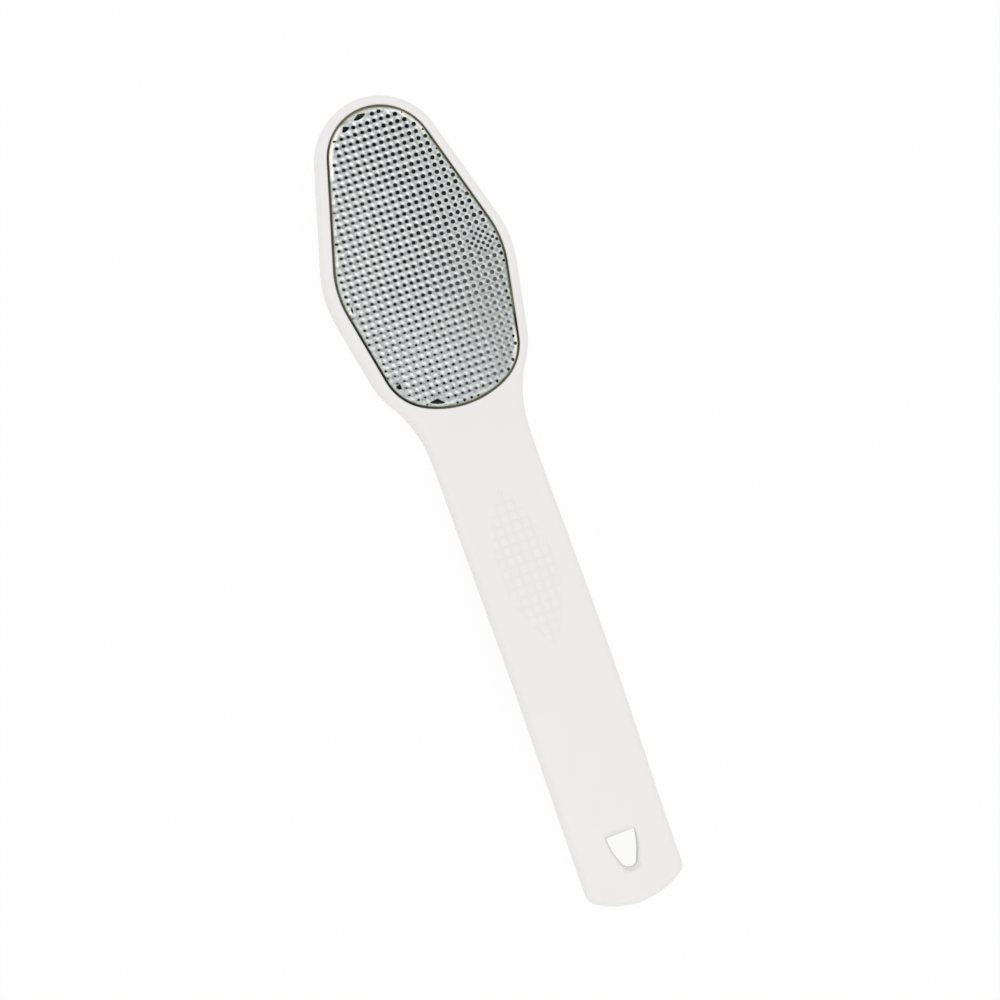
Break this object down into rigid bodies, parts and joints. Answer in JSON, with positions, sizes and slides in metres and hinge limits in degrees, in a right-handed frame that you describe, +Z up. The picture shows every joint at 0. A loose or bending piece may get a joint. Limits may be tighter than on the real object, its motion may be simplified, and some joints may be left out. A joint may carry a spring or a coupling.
{
  "type": "foot file",
  "caption": "Foot file with a long arched plastic handle, a broad rounded head, a perforated steel rasp on the front, an emery sheet on the back and a shield-shaped hang hole.",
  "frame": {"origin": "middle of the bounding box seen from above, at the height of the surface that the file lies on, under the handle just below the head", "axes": "+Y along the handle towards the head, +X across the file to the right, +Z up out of the rasp; the file lies on its emery side"},
  "size_m": [0.0528, 0.23, 0.0138],
  "materials": {
    "shell_plastic": "satin white moulded plastic",
    "rasp_steel": "bright stamped stainless sheet",
    "black_foam": "matt black foam pad",
    "emery": "fine dark grey abrasive grit",
    "tape": "matt pale double-sided tape"
  },
  "bodies": {
    "root": {"front_shell": "shell_plastic", "back_shell": "shell_plastic", "rasp_plate": "rasp_steel", "rasp_backing": "black_foam", "emery_sheet": "emery", "emery_backing": "tape"}
  },
  "joints": []
}
